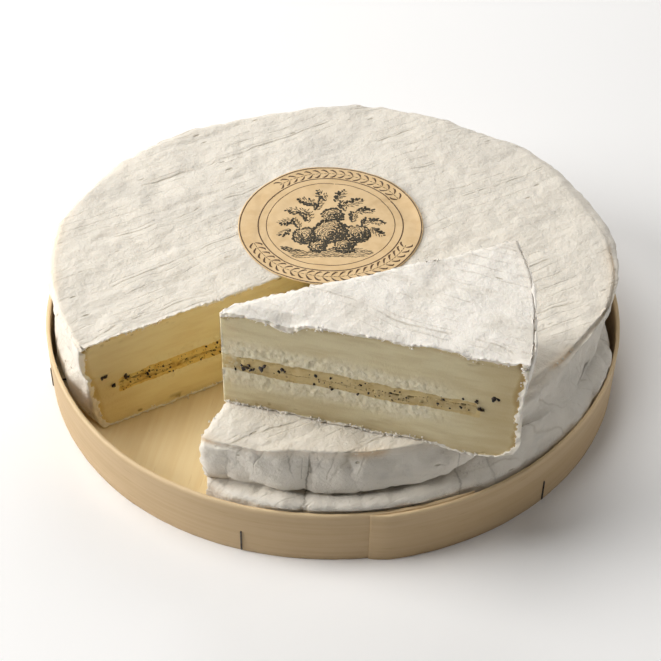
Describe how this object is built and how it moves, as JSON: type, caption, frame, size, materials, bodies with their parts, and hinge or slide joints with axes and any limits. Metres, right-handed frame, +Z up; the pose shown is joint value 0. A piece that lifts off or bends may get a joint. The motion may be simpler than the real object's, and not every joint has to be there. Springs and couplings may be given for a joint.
{
  "type": "cheese wheel",
  "caption": "Soft white-rind cheese wheel with a truffle layer, in a shallow wooden box; a slice is cut out and rests on top beside a round paper label.",
  "frame": {"origin": "centre of the box's flat underside, on the surface that it stands on", "axes": "+Z up; -Y towards the side where the resting slice overhangs; the missing slice opens towards -X and -Y; +X to the right seen from -Y"},
  "size_m": [0.206, 0.2045, 0.084],
  "materials": {
    "rind": "soft matte white mould rind over pale cream paste",
    "truffle_paste": "dull golden paste with black specks",
    "label_paper": "uncoated tan paper with dark brown print",
    "box_wood": "bare planed poplar veneer",
    "staple_wire": "dull dark steel wire"
  },
  "bodies": {
    "root": {"wheel_cheese": "rind", "slice_cheese": "rind", "wheel_truffle_layer": "truffle_paste", "slice_truffle_layer": "truffle_paste", "label": "label_paper", "box_hoop": "box_wood", "box_base": "box_wood", "staple_1": "staple_wire", "staple_2": "staple_wire", "staple_3": "staple_wire", "staple_4": "staple_wire", "staple_5": "staple_wire", "staple_6": "staple_wire"}
  },
  "joints": []
}
